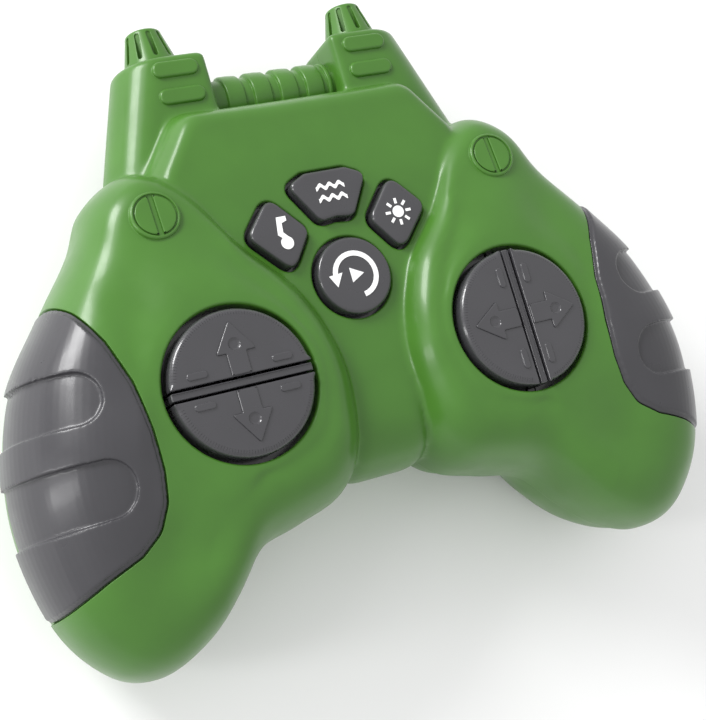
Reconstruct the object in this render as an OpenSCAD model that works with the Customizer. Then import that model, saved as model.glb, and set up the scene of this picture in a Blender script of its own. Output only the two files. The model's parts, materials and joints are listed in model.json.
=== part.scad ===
// Handheld remote controller for a radio-controlled toy: two thumb discs, four centre keys, soft grips.
// Millimetres. X runs across the controller, +Y towards its two towers, +Z out of its face.
// The controller lies on its back. The origin is the middle of the box round it, on the plane it rests on.

/* [Case] */
// Height of the thumb discs' tops above the resting plane
case_h = 47; // [46:0.5:50]
// Height of the joint between the front and the rear housing
seam_z = 22; // [21:0.5:23]
// Wall thickness of the housings
wall = 2.4; // [2.2:0.1:2.8]
// Points between two knots of a smooth outline
outline_steps = 4; // [3:1:6]

/* [Thumb discs] */
// Distance of each thumb disc's centre from the middle
disc_x = 32.5; // [32:0.25:33.5]
// Radius of a thumb disc
disc_r = 15; // [14.5:0.1:15.2]
// Width of the fixed bar between a disc's two half keys
divider_w = 1.6; // [1.2:0.1:2.2]
// Travel of a half key
disc_travel = 1.2; // [0.8:0.1:1.3]

/* [Centre keys] */
// Radius of the round key
round_key_r = 8.3; // [7.5:0.1:8.5]
// How far the centre keys stand out of the panel
key_proud = 2; // [1.5:0.1:2.5]
// Travel of a centre key
key_travel = 1; // [0.6:0.1:1.1]

/* [Towers] */
// Distance of a tower's inner wall from the middle
tower_in_x = 15; // [14:0.5:16]
// Outer radius of the ribbed tube's sleeves
sleeve_r = 6; // [5:0.25:6.5]

/* [Hidden] */

$fn = 48;
gap = 0.3;

// Heights of the face
mound_z = case_h - 1.7;
panel_z = case_h - 8.5;
lobe_z = case_h - 5.4;

// The face's y positions are counted from the line through the two disc centres
grip_end_y = -51;
cone_tip_y = 83.5;
disc_line_y = -(grip_end_y + cone_tip_y) / 2;

// Openings in the face
disc_hole_r = disc_r + 1.1;
collar_t = 1.5;
collar_h = 5.2;
key_gap = 0.7;
flange_t = 1.2;

// Grip pads: thickness in the recess, height above the housing, depth of the finger grooves and lower edge
pad_t = 1.2;
pad_proud = 0.3;
groove_depth = 0.8;
pad_low_z = seam_z + 0.15;

// How far the rear housing's skin stands back from the front's
rear_step = 0.5;

// Towers, cones and tube share one axis height
tower_z = case_h - 25.5;
tower_half = 9.3;
tower_top_y = 74.7;
tower_foot_y = 40;
tower_top_x = 33.9;
tower_foot_x = 45.8;
cone_x = 24.5;
tube_y = 65;
cone_spigot_r = 4.5;
tube_spigot_r = 3.5;

// Inside
board_top_z = seam_z + 4;
board_t = 1.6;
switch_h = 5;
switch_top_z = board_top_z + switch_h;
stem_r = 2.5;
wire_r = 0.6;
cell_r = 7.25;
cell_l = 50.5;
cell_y = [-10.6, 5.1];
door_t = 2;
door_half_x = 28;
door_top_y = 15.2;
tongue_reach = 1.3;
hump_half_x = 33;
hump_low_y = -21.6;
hump_top_y = 33;
strip_y = -23.9;
floor_z = 12;
cell_z = door_t + 0.6 + cell_r;
bay_z = cell_z + cell_r + 0.7;
bay_half_x = 30.2;
bay_y = [-19, 13.3];

// Case screws sit under the two upper lobes and in the two grips
screw_spots = [[39.2, 37.6], [60, -34]];
screw_shank_r = 1.3;
screw_head_r = 2.6;
boss_r = 3.4;
screw_bore_r = screw_shank_r + 0.05;

// Knots of the right pod's outline, anticlockwise from its top:
// x, y, width and top of the front's rounding, width and bottom of the rear's rounding
pod_knots = [
    [40.3, 50, 10, lobe_z, 10, 5],
    [31.5, 45, 9, lobe_z, 9, 5],
    [22, 31, 8, mound_z - 2.2, 8, 4],
    [11, 18, 9, mound_z - 1, 8, 4],
    [5.5, 0, 9.5, mound_z - 0.5, 8, 4],
    [7, -17, 11, mound_z - 0.5, 9, 4],
    [12.5, -25.8, 13, mound_z - 0.6, 12, 4],
    [22.5, -29.4, 13, mound_z - 0.6, 14, 4],
    [33, -32.4, 14, mound_z - 0.9, 16, 4],
    [40, -40, 16, mound_z - 1.6, 18, 2.5],
    [48.3, -47.2, 19, mound_z - 2.6, 18, 1.2],
    [58.5, -51, 22, mound_z - 3.2, 16, 0.8],
    [67.8, -47.5, 23, mound_z - 2.8, 15, 0.8],
    [76, -35, 24, mound_z - 0.5, 16, 1.5],
    [79.2, -13, 24, mound_z + 1.3, 16, 4],
    [74.5, 9, 22, mound_z, 14, 5],
    [63.5, 25, 15, mound_z - 1.8, 11, 5],
    [54.5, 36.5, 12, lobe_z - 0.4, 10, 5],
    [49.3, 45.5, 11, lobe_z, 10, 5]
];

// Corners of the middle body's outline, right half from the bottom up
middle_corners = [[10, strip_y], [15, 5], [30, 28], [38, 40], [36.5, 48.5], [27.5, 61]];

// Plan of the right grip pad; its two finger grooves as x and y of the inner end, half width and tilt
pad_edge = [[60, 21.5], [56.4, 14], [53.6, 5], [52.4, -5], [52.2, -13], [53, -19], [55.5, -24], [60, -27.4],
            [67, -30.2], [76, -34.6]];
groove_spots = [[59.8, 4.6, 5.4, 6], [57.9, -13.8, 5.7, 1]];

// ---------- smooth outlines ----------

function wrapped(list, i) = list[(i + len(list)) % len(list)];

function spline_point(a, b, c, d, t) =
    0.5 * (2 * b + (c - a) * t + (2 * a - 5 * b + 4 * c - d) * t * t + (3 * b - a - 3 * c + d) * t * t * t);

// A closed curve through every knot; the values beyond x and y are blended along with them
function closed_curve(knots, steps) = [
    for (i = [0 : len(knots) - 1])
        for (s = [0 : steps - 1])
            spline_point(wrapped(knots, i - 1), knots[i], wrapped(knots, i + 1), wrapped(knots, i + 2), s / steps)
];

// A polygon with each corner rounded to radius r
function rounded(corners, r, steps = 5) = [
    for (i = [0 : len(corners) - 1])
        let (
            here = corners[i],
            back = wrapped(corners, i - 1) - here,
            ahead = wrapped(corners, i + 1) - here,
            u = back / norm(back),
            v = ahead / norm(ahead),
            half_angle = acos(u * v) / 2,
            reach = min(r / tan(half_angle), 0.45 * min(norm(back), norm(ahead)))
        )
        for (s = [0 : steps])
            let (t = s / steps)
            here + u * reach * (1 - t) * (1 - t) + v * reach * t * t
];

function mirrored(points) = [for (i = [len(points) - 1 : -1 : 0]) [-points[i][0], points[i][1]]];

// ---------- solids from rings ----------

// A closed solid through rings of equal length, from the lowest to the highest
module loft(rings) {
    n = len(rings[0]);
    last = len(rings) - 1;
    points = [for (ring = rings) for (p = ring) p];
    sides = [
        for (k = [0 : last - 1])
            for (i = [0 : n - 1])
                let (j = (i + 1) % n)
                for (tri = [[k * n + i, (k + 1) * n + i, k * n + j], [k * n + j, (k + 1) * n + i, (k + 1) * n + j]])
                    tri
    ];
    bottom = [[for (i = [0 : n - 1]) i]];
    top = [[for (i = [n - 1 : -1 : 0]) last * n + i]];
    polyhedron(points, concat(sides, bottom, top), convexity = 8);
}

// Quarter of a superellipse: 0 at the edge, 1 at the shoulder
function rise(t) = pow(1 - pow(1 - min(t, 1), fullness), 1 / fullness);

fullness = 2.4;

function ease(t) = t * t * (3 - 2 * t);

// A domed solid over an outline whose points hold x, y, rounding width and shoulder height.
// It stands on a foot 1 beyond the height edge_z and ends level at flat_z, inside flat_r of the centre.
// grow moves the whole surface out; columns picks the width and the height out of each point.
module dome(outline, centre, flat_r, edge_z, flat_z, grow = 0, columns = [2, 3], edge_rings = 6, top_rings = 3) {
    up = sign(flat_z - edge_z);
    n = len(outline);
    edge_stops = [for (k = [0 : edge_rings]) 1 - cos(90 * k / edge_rings)];
    top_stops = top_rings > 0 ? [for (k = [1 : top_rings]) 1 + k / top_rings] : [];
    function ray(p) = [centre[0] - p[0], centre[1] - p[1]];
    function surface_point(p, stop) =
        let (
            line = ray(p),
            reach = norm(line),
            along = line / reach,
            width = min(p[columns[0]], reach - flat_r - 1),
            d = stop <= 1 ? width * stop : width + (reach - flat_r - width) * (stop - 1),
            shoulder = p[columns[1]],
            z = stop <= 1
                ? edge_z + (shoulder + grow * up - edge_z) * rise(stop)
                : (shoulder + (flat_z - shoulder) * ease(stop - 1)) + grow * up
        )
        [p[0] + along[0] * (d - grow), p[1] + along[1] * (d - grow), z];
    rings = [for (stop = concat(edge_stops, top_stops)) [for (p = outline) surface_point(p, stop)]];
    foot = [for (q = rings[0]) [q[0], q[1], edge_z - up]];
    stack = concat([foot], rings);
    count = len(stack);
    points = concat(
        [for (ring = stack) for (q = ring) q],
        [[centre[0], centre[1], stack[0][0][2]], [centre[0], centre[1], stack[count - 1][0][2]]]
    );
    sides = [
        for (k = [0 : count - 2])
            for (i = [0 : n - 1])
                let (j = (i + 1) % n)
                for (tri = [[k * n + i, (k + 1) * n + i, k * n + j], [k * n + j, (k + 1) * n + i, (k + 1) * n + j]])
                    tri
    ];
    caps = [
        for (i = [0 : n - 1])
            let (j = (i + 1) % n)
            for (tri = [[count * n, i, j], [count * n + 1, (count - 1) * n + j, (count - 1) * n + i]])
                tri
    ];
    faces = [for (f = concat(sides, caps)) up > 0 ? f : [f[2], f[1], f[0]]];
    polyhedron(points, faces, convexity = 8);
}

// Each node is placed from the disc line into the row frame
module place() {
    translate([0, disc_line_y, 0]) children();
}

module both_sides() {
    children();
    mirror([1, 0, 0]) children();
}

// ---------- case shapes ----------

pod_outline = closed_curve(pod_knots, outline_steps);

module pod_front(grow = 0) {
    inner = grow < -pad_t;
    dome(pod_outline, [disc_x, 0], disc_hole_r + 1.2, seam_z, mound_z, grow,
         edge_rings = inner ? 4 : 6, top_rings = inner ? 1 : 3);
}

module pod_rear(grow = 0) {
    dome(pod_outline, [disc_x, 0], 8, seam_z, 4, grow, columns = [4, 5], edge_rings = 5,
         top_rings = grow < 0 ? 1 : 2);
}

// The middle body's outline with its rounding width and its level: wide over the lower edge
function middle_outline(level, low_width) = [
    for (p = rounded(concat(middle_corners, mirrored(middle_corners)), 6))
        [p[0], p[1], p[1] < strip_y + 6 ? low_width : 6, level]
];

module middle_front(grow = 0) {
    dome(middle_outline(panel_z, 16), [0, 18], 1, seam_z, panel_z, grow, top_rings = 0);
}

module middle_rear(grow = 0) {
    dome(middle_outline(floor_z, 6), [0, 18], 1, seam_z, floor_z, grow, top_rings = 0);
}

function box_outline(half_x, y_low, y_high, r) =
    rounded([[half_x, y_low], [half_x, y_high], [-half_x, y_high], [-half_x, y_low]], r, 6);

function at_height(outline, z) = [for (p = outline) [p[0], p[1], z]];

// Flat-bottomed hump round the batteries; the controller rests on it
module hump(inset = 0) {
    edge_r = 2.4;
    function ring(cut, z) = at_height(
        box_outline(hump_half_x - inset - cut, hump_low_y + inset + cut, hump_top_y - inset - cut, 7 - inset), z);
    bottom = inset;
    loft([
        ring(edge_r, bottom),
        ring(edge_r * 0.3, bottom + edge_r * 0.3),
        ring(0, bottom + edge_r),
        ring(0, seam_z + 1)
    ]);
}

module tower_slab(y, outer_x, inset) {
    r = tower_half - inset;
    translate([0, y, tower_z])
        rotate([90, 0, 0])
            linear_extrude(0.1) {
                translate([outer_x - tower_half, 0]) circle(r, $fn = 32);
                translate([tower_in_x + inset, -r]) square([outer_x - tower_half - tower_in_x - inset, 2 * r]);
            }
}

module tower(inset = 0) {
    hull() {
        tower_slab(tower_foot_y, tower_foot_x, inset);
        tower_slab(tower_top_y - inset, tower_top_x, inset);
    }
}

module above_seam() {
    translate([-100, -100, seam_z]) cube([200, 200, 60]);
}

module below_seam() {
    translate([-100, -100, seam_z - 60]) cube([200, 200, 60]);
}

// Holes that the cones' and the tube's spigots need in the towers' walls
module spigot_holes() {
    both_sides() {
        translate([cone_x, tower_top_y + 1, tower_z])
            rotate([90, 0, 0]) cylinder(r = cone_spigot_r + 0.1, h = wall + 2);
        translate([tower_in_x - 1, tube_y, tower_z])
            rotate([0, 90, 0]) cylinder(r = tube_spigot_r + 0.1, h = wall + 2);
    }
}

// Round bed for the tube in the middle body's end, and the thicker wall behind it
module tube_bed() {
    translate([-tower_in_x, tube_y, tower_z])
        rotate([0, 90, 0]) cylinder(r = sleeve_r + gap, h = 2 * tower_in_x);
}

module tube_backing() {
    translate([-tower_in_x - 1, tube_y - sleeve_r - 3.5, tower_z - 10]) cube([2 * tower_in_x + 2, 8, 22]);
}

function stadium(length, width) =
    rounded([[length / 2, -width / 2], [length / 2, width / 2], [-length / 2, width / 2],
             [-length / 2, -width / 2]], width * 0.44, 6);

module tower_pills() {
    pill_l = 10.4;
    pill_w = 3.6;
    pill_x = 22.6;
    for (pill_y = [65.1, 71.2])
        translate([pill_x, pill_y, tower_z + tower_half - 1])
            loft([
                at_height(stadium(pill_l, pill_w), 0),
                at_height(stadium(pill_l, pill_w), 1.3),
                at_height(stadium(pill_l - 0.8, pill_w - 0.8), 1.7)
            ]);
}

// Round moulding like a screw head, tilted with the lobe's surface: a ring with two pads beside a slot
module lobe_moulding() {
    r = 5.2;
    slot = 1.1;
    spot = [39.3, 37.2, lobe_z + 0.3];
    tilt = -7;
    translate(spot) rotate([tilt, 0, 0]) translate([0, 0, -1.5]) {
        difference() {
            cylinder(r = r, h = 2);
            translate([0, 0, 1.7]) cylinder(r = r - 0.5, h = 1);
        }
        difference() {
            cylinder(r = r - 0.9, h = 2.1);
            translate([-slot / 2, -r, 1.7]) cube([slot, 2 * r, 1]);
        }
    }
}

// Plan of the right grip pad, open to the outside of the pod
module pad_plan(more = 0) {
    offset(delta = more)
        polygon(concat([for (p = pad_edge) p], [[95, -44], [95, 32], [64, 27.5]]));
}

module groove_plan(more = 0) {
    for (g = groove_spots)
        translate([g[0] + g[2], g[1]])
            rotate(g[3]) {
                circle(g[2] + more, $fn = 32);
                translate([0, -g[2] - more]) square([40, 2 * (g[2] + more)]);
            }
}

module pad_recess() {
    difference() {
        translate([0, 0, seam_z - 1]) linear_extrude(40) pad_plan(gap);
        pod_front(-pad_t);
    }
}

// The right grip pad; its two finger grooves lie deeper than the rest
module grip_pad() {
    resize([0, 0, 0])
        difference() {
            intersection() {
                translate([0, 0, pad_low_z]) linear_extrude(40) pad_plan();
                pod_front(pad_proud);
            }
            pod_front(-pad_t);
            difference() {
                translate([0, 0, seam_z - 5]) linear_extrude(60) groove_plan();
                pod_front(pad_proud - groove_depth);
            }
        }
}

// ---------- housings ----------

// Corners of the right small key and of the top key, anticlockwise
side_key = [[14.3, 37.4], [7, 28.9], [12.9, 20.7], [21, 29.6]];
top_key = [[9.2, 38.9], [4.8, 41], [-4.8, 41], [-9.2, 38.9], [-3.9, 30.1], [0, 30.6], [3.9, 30.1]];
round_key_y = 17.5;

function middle_of(points) = [for (axis = [0, 1]) let (v = [for (p = points) p[axis]]) (max(v) + min(v)) / 2];

// Moves each point of a convex outline away from its middle by the same length
function grown(points, by) =
    let (c = middle_of(points))
    [for (p = points) let (out = [p[0] - c[0], p[1] - c[1]]) [p[0], p[1]] + out / norm(out) * by];

side_key_outline = rounded(side_key, 2.6);
left_key_outline = mirrored(side_key_outline);
top_key_outline = rounded(top_key, 2.2);
round_key_outline = [for (a = [0 : 7.5 : 352.5]) [round_key_r * cos(a), round_key_y + round_key_r * sin(a)]];

module key_holes() {
    for (outline = [side_key_outline, left_key_outline, top_key_outline])
        translate([0, 0, panel_z - wall - 1]) linear_extrude(wall + 3) polygon(grown(outline, key_gap));
    translate([0, round_key_y, panel_z - wall - 1]) cylinder(r = round_key_r + key_gap, h = wall + 3);
}

module at_screws() {
    both_sides()
        for (spot = screw_spots)
            translate([spot[0], spot[1], 0]) children();
}

// The front's outer skin, less its hollow
module front_walls() {
    difference() {
        union() {
            middle_front();
            both_sides() {
                pod_front();
                tower();
                tower_pills();
                lobe_moulding();
            }
        }
        middle_front(-wall);
        both_sides() {
            pod_front(-wall);
            tower(wall);
        }
    }
}

// Walls, screw bosses and the collars round the disc holes
module front_shell() {
    resize([0, 0, 0])
        intersection() {
            above_seam();
            difference() {
                union() {
                    front_walls();
                    intersection() {
                        at_screws() translate([0, 0, seam_z - 1]) cylinder(r = boss_r, h = 40);
                        both_sides() pod_front();
                    }
                    intersection() {
                        tube_backing();
                        middle_front();
                    }
                    both_sides()
                        translate([disc_x, 0, mound_z - collar_h])
                            cylinder(r = disc_hole_r + collar_t, h = collar_h - 0.6, $fn = 72);
                }
                both_sides() {
                    pad_recess();
                    translate([disc_x, 0, seam_z - 1]) cylinder(r = disc_hole_r, h = 40, $fn = 72);
                }
                key_holes();
                spigot_holes();
                tube_bed();
            }
        }
}

module front_housing() {
    color("green") place()
        difference() {
            front_shell();
            at_screws() translate([0, 0, seam_z - 1]) cylinder(r = screw_bore_r, h = 14);
        }
}

well_z = 10;

module bay_box() {
    t = 1.4;
    translate([-bay_half_x - t, bay_y[0] - t, 1])
        cube([2 * (bay_half_x + t), bay_y[1] - bay_y[0] + 2 * t, bay_z + t - 1]);
}

module bay_hollow() {
    translate([-bay_half_x, bay_y[0], door_t + 0.4])
        cube([2 * bay_half_x, bay_y[1] - bay_y[0], bay_z - door_t - 0.4]);
}

module door_opening() {
    low_y = hump_low_y - 1;
    long = door_top_y + gap - low_y;
    translate([-door_half_x - gap, low_y, -1]) cube([2 * (door_half_x + gap), long, door_t + 1.4]);
    translate([-door_half_x - tongue_reach - gap, low_y, 0.9])
        cube([2 * (door_half_x + tongue_reach + gap), long, door_t - 0.5]);
}

board_posts = [[46, 10], [46, -10]];
high_posts = [[18, 42]];

module at_posts(spots) {
    both_sides()
        for (spot = spots)
            translate([spot[0], spot[1], 0]) children();
}

// The rear's outer skin, less its hollow
module rear_walls() {
    intersection() {
        below_seam();
        difference() {
            union() {
                middle_rear(-rear_step);
                hump();
                both_sides() {
                    pod_rear(-rear_step);
                    tower();
                }
            }
            middle_rear(-wall);
            hump(wall);
            both_sides() {
                pod_rear(-wall);
                tower(wall);
            }
        }
    }
}

// Walls, screw bosses, board posts and the battery bay
module rear_shell() {
    resize([0, 0, 0])
        difference() {
            union() {
                rear_walls();
                intersection() {
                    at_screws() cylinder(r = boss_r + 1.2, h = seam_z);
                    both_sides() pod_rear(-rear_step);
                }
                intersection() {
                    below_seam();
                    tube_backing();
                    middle_rear(-rear_step);
                }
                bay_box();
                at_posts(board_posts) translate([0, 0, 5]) cylinder(r = 2.8, h = board_top_z - board_t - 5, $fn = 24);
                at_posts(high_posts) translate([0, 0, floor_z + 1])
                    cylinder(r = 2.8, h = board_top_z - board_t - floor_z - 1, $fn = 24);
            }
            bay_hollow();
            door_opening();
            tube_bed();
        }
}

module rear_housing() {
    color("darkgreen") place()
        difference() {
            rear_shell();
            spigot_holes();
            at_screws() {
                translate([0, 0, -1]) cylinder(r = screw_head_r + 0.5, h = well_z + 1);
                translate([0, 0, well_z - 1]) cylinder(r = screw_bore_r + 0.15, h = seam_z);
            }
            at_posts(concat(board_posts, high_posts))
                translate([0, 0, board_top_z - board_t - 7]) cylinder(r = 1.05, h = 8);
            contact_slots();
        }
}

module left_grip_pad() {
    color("dimgray") place() mirror([1, 0, 0]) grip_pad();
}

module right_grip_pad() {
    color("dimgray") place() grip_pad();
}

// ---------- towers' cones and tube ----------

module cone() {
    base_r = 6.5;
    tip_r = 4.2;
    cone_l = cone_tip_y - tower_top_y;
    slots = 10;
    translate([cone_x, tower_top_y, tower_z])
        rotate([-90, 0, 0])
            difference() {
                rotate_extrude()
                    polygon([
                        [0, -4.6], [cone_spigot_r + 1, -4.6], [cone_spigot_r + 1, -wall - 0.1],
                        [cone_spigot_r, -wall - 0.1], [cone_spigot_r, 0], [base_r, 0],
                        [tip_r + 0.15, cone_l - 0.9], [tip_r - 0.3, cone_l - 0.25], [tip_r - 0.9, cone_l],
                        [0, cone_l]
                    ]);
                for (k = [0 : slots - 1])
                    rotate(k * 360 / slots)
                        translate([tip_r - 0.1, -0.55, 1.6]) cube([4, 1.1, cone_l - 2.2]);
            }
}

module left_cone() {
    color("green") place() mirror([1, 0, 0]) cone();
}

module right_cone() {
    color("green") place() cone();
}

// Overlapping sleeves: each is wide behind its lip, then steps down into the next one
module ribbed_tube() {
    pitch = 6.35;
    first_x = -11.3;
    narrow_r = sleeve_r - 0.8;
    end_x = tower_in_x - 0.1;
    spigot_x = end_x + 1.8;
    sleeves = [
        for (k = [0 : 3])
            let (x = first_x + k * pitch)
            for (q = [[narrow_r, x], [sleeve_r - 0.3, x], [sleeve_r, x + 0.4], [sleeve_r - 0.15, x + 4],
                      [narrow_r, x + 4.5]])
                q
    ];
    color("green") place()
        translate([0, tube_y, tower_z])
            rotate([0, 90, 0])
                rotate_extrude()
                    polygon(concat(
                        [[0, -spigot_x], [tube_spigot_r, -spigot_x], [tube_spigot_r, -end_x], [narrow_r, -end_x]],
                        sleeves,
                        [[narrow_r, 13.2], [sleeve_r - 0.2, 13.2], [sleeve_r - 0.2, 14.2], [narrow_r, 14.2],
                         [narrow_r, end_x], [tube_spigot_r, end_x], [tube_spigot_r, spigot_x], [0, spigot_x]]
                    ));
}

// ---------- thumb discs ----------

half_gap = divider_w / 2 + 0.5;
disc_stem_y = 8;
collar_low_z = mound_z - collar_h;
flange_z = collar_low_z - gap - flange_t;

// Outer shape of a whole disc, with its rounded rim
module disc_blank(low_z) {
    rim = 1.2;
    arc = [for (a = [0 : 15 : 90]) [disc_r - rim + rim * cos(a), case_h - rim + rim * sin(a)]];
    rotate_extrude() polygon(concat([[0, low_z], [disc_r, low_z]], arc, [[0, case_h]]));
}

module upper_half(from_y) {
    translate([-30, from_y, 0]) cube([60, 30, 60]);
}

function arrow(inset) =
    let (foot = half_gap + 0.2, head = 6, tip = 12.4, half_shaft = 2.1 - inset, half_head = 4.3)
    [[-half_shaft, foot], [half_shaft, foot], [half_shaft, head + inset],
     [half_head - 2.1 * inset, head + inset], [0, tip - 1.8 * inset],
     [-half_head + 2.1 * inset, head + inset], [-half_shaft, head + inset]];

mark_h = 0.2;

// Raised arrow outline, a dimple in its head and two small bars beside the divider
module thumb_marks() {
    line_w = 0.4;
    translate([0, 0, case_h - 0.1]) {
        linear_extrude(mark_h + 0.1)
            difference() {
                polygon(arrow(0));
                polygon(arrow(line_w));
            }
        translate([0, 7.6, 0]) cylinder(r1 = 1.2, r2 = 0.7, h = mark_h + 0.1);
        for (x = [-9, 9])
            translate([x, 3.1, 0]) linear_extrude(mark_h + 0.1) polygon(stadium(4.4, 1.5));
    }
}

// Half key on the +Y side of its disc
module half_key() {
    skin = 1.6;
    stem_low_z = switch_top_z + disc_travel + gap;
    difference() {
        union() {
            intersection() {
                disc_blank(flange_z);
                upper_half(half_gap);
            }
            intersection() {
                translate([0, 0, flange_z]) cylinder(r = disc_hole_r + 1.1, h = flange_t);
                upper_half(half_gap);
            }
            thumb_marks();
        }
        intersection() {
            translate([0, 0, flange_z - 1]) cylinder(r = disc_r - skin, h = case_h - skin - flange_z);
            upper_half(half_gap + skin);
        }
    }
    translate([0, disc_stem_y, stem_low_z]) cylinder(r = stem_r, h = case_h - skin - 0.4 - stem_low_z);
}

module half_key_at(side, turn) {
    color("dimgray") place() translate([side * disc_x, 0, 0]) rotate(turn) half_key();
}

module forward_key() { half_key_at(-1, 0); }
module reverse_key() { half_key_at(-1, 180); }
module left_turn_key() { half_key_at(1, 90); }
module right_turn_key() { half_key_at(1, -90); }

// Fixed bar between the half keys, standing on the board and held under the collar
module divider() {
    foot_half = disc_hole_r + collar_t - 0.2;
    intersection() {
        disc_blank(flange_z);
        translate([-disc_r, -divider_w / 2, flange_z]) cube([2 * disc_r, divider_w, 20]);
    }
    translate([-foot_half, -divider_w / 2, flange_z]) cube([2 * foot_half, divider_w, collar_low_z - flange_z]);
    for (x = [-12, 9])
        translate([x, -divider_w / 2, board_top_z]) cube([3, divider_w, flange_z - board_top_z + 1]);
}

module left_divider() {
    color("dimgray") place() translate([-disc_x, 0, 0]) divider();
}

module right_divider() {
    color("dimgray") place() translate([disc_x, 0, 0]) rotate(90) divider();
}

// ---------- centre keys ----------

key_top_z = panel_z + key_proud;
key_flange_z = panel_z - wall - gap - flange_t;

// A key cap with a bevelled top, a flange under the panel and a stem over its switch
module centre_key(outline, stem_at) {
    stem_low_z = switch_top_z + key_travel + gap;
    color("dimgray") place() {
        loft([
            at_height(outline, key_flange_z + 0.2),
            at_height(outline, key_top_z - 1),
            at_height(grown(outline, -0.3), key_top_z - 0.35),
            at_height(grown(outline, -0.9), key_top_z)
        ]);
        translate([0, 0, key_flange_z]) linear_extrude(flange_t) polygon(grown(outline, key_gap + 0.6));
        translate([stem_at[0], stem_at[1], stem_low_z]) cylinder(r = stem_r, h = key_flange_z - stem_low_z + 0.4);
    }
}

side_stem = [13.7, 29];
top_stem = [0, 35.5];
round_stem = [0, round_key_y];

module music_key() { centre_key(left_key_outline, [-side_stem[0], side_stem[1]]); }
module light_key() { centre_key(side_key_outline, side_stem); }
module wave_key() { centre_key(top_key_outline, top_stem); }
module spin_key() { centre_key(round_key_outline, round_stem); }

module printed(at) {
    color("white") place() translate([at[0], at[1], key_top_z]) linear_extrude(0.1) children();
}

// Musical note: head, stem and flag
module music_mark() {
    printed([-13.4, 28.6]) {
        translate([0.5, -1.7]) circle(1.4);
        polygon([[-1.1, 0.2], [-0.5, 4], [1.6, 4], [1.6, 3], [0.4, 2.6], [0.2, 0.6], [1.6, -1], [0.8, -1.6],
                 [-0.2, -0.6]]);
    }
}

// Two wavy lines
module wave_mark() {
    pitch = 2.2;
    line = 0.9;
    spread = 1.3;
    half_l = 1.5 * pitch;
    steps = [-half_l : pitch / 16 : half_l + 0.01];
    function wave(x) = 0.4 * cos(x * 360 / pitch);
    printed([0, 36])
        for (y = [-spread, spread])
            translate([0, y])
                polygon(concat([for (x = steps) [x, wave(x) - line / 2]],
                               [for (x = steps) [-x, wave(-x) + line / 2]]));
}

// Sun: a disc with eight short rays
module light_mark() {
    printed([13.8, 29]) {
        circle(1.3);
        for (k = [0 : 7])
            rotate(k * 45) translate([1.8, -0.3]) square([1.2, 0.6]);
    }
}

// Turning arrow, open at the lower right, round a small triangle
module spin_mark() {
    r = 4.6;
    line = 1.1;
    start = -80;
    end = 175;
    last = 24;
    steps = [0 : last];
    function on_arc(k, radius) = let (a = start + (end - start) * k / last) [radius * cos(a), radius * sin(a)];
    printed([0, round_key_y]) {
        polygon(concat([for (k = steps) on_arc(k, r - line / 2)], [for (k = steps) on_arc(last - k, r + line / 2)]));
        polygon([[-r - 1.5, 0.6], [-r - 0.1, -2], [-r + 1.7, 0.9]]);
        polygon([[-1.1, -1.6], [1.9, 0], [-1.1, 1.6]]);
    }
}

// ---------- electronics ----------

module main_board() {
    corners = [[50, -14], [50, 14], [24, 14], [24, 46], [-24, 46], [-24, 14], [-50, 14], [-50, -14]];
    color("darkseagreen") place()
        translate([0, 0, board_top_z - board_t])
            difference() {
                linear_extrude(board_t) polygon(rounded(corners, 2, 3));
                at_posts(concat(board_posts, high_posts)) translate([0, 0, -1]) cylinder(r = 1.2, h = board_t + 2);
            }
}

module board_screws() {
    color("silver") place()
        at_posts(concat(board_posts, high_posts)) {
            translate([0, 0, board_top_z]) cylinder(r = 1.9, h = 1.3);
            translate([0, 0, board_top_z - 6]) cylinder(r = 1, h = 6.1);
        }
}

// Push switch with a square body and a round button
module push_switch(at) {
    side = 6;
    color("black") place()
        translate([at[0], at[1], board_top_z]) {
            translate([-side / 2, -side / 2, 0]) cube([side, side, 3.6]);
            cylinder(r = 1.75, h = switch_h);
        }
}

module forward_switch() { push_switch([-disc_x, disc_stem_y]); }
module reverse_switch() { push_switch([-disc_x, -disc_stem_y]); }
module left_turn_switch() { push_switch([disc_x - disc_stem_y, 0]); }
module right_turn_switch() { push_switch([disc_x + disc_stem_y, 0]); }
module music_switch() { push_switch([-side_stem[0], side_stem[1]]); }
module light_switch() { push_switch(side_stem); }
module wave_switch() { push_switch(top_stem); }
module spin_switch() { push_switch(round_stem); }

module control_chip() {
    side = 9;
    color("black") place()
        translate([-9, 0, board_top_z]) {
            translate([-side / 2, -side / 2, 0.3]) cube([side, side, 1.8]);
            for (k = [-3 : 3], s = [-1, 1])
                translate([s * (side / 2 + 0.5) - 0.7, k * 1.2 - 0.25, 0]) cube([1.4, 0.5, 0.9]);
        }
}

module radio_can() {
    color("silver") place() translate([4, -6, board_top_z]) cube([12, 9, 3]);
}

// A round wire through a list of points
module wire(points, r) {
    for (i = [0 : len(points) - 2]) {
        step = points[i + 1] - points[i];
        flat = norm([step[0], step[1]]);
        translate(points[i])
            rotate([0, atan2(flat, step[2]), atan2(step[1], step[0])])
                cylinder(r = r, h = norm(step));
        if (i > 0)
            translate(points[i]) sphere(r = r + 0.03);
    }
}

// Loop of bare wire from the board to the wall between the towers and back
module antenna_wire() {
    loop_x = 23;
    loop_y = 54;
    loop_z = board_top_z + 3;
    color("goldenrod") place()
        wire([[-21, 38, board_top_z], [-21, 38, loop_z], [-loop_x, loop_y, loop_z], [loop_x, loop_y, loop_z],
              [loop_x, loop_y - 6, loop_z]], wire_r);
}

// ---------- batteries ----------

module cell() {
    nub = 1.3;
    translate([-cell_l / 2, 0, 0])
        rotate([0, 90, 0]) {
            cylinder(r = cell_r, h = cell_l - nub);
            cylinder(r = 2.75, h = cell_l);
        }
}

module battery_a() {
    color("orange") place() translate([0, cell_y[0], cell_z]) cell();
}

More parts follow.
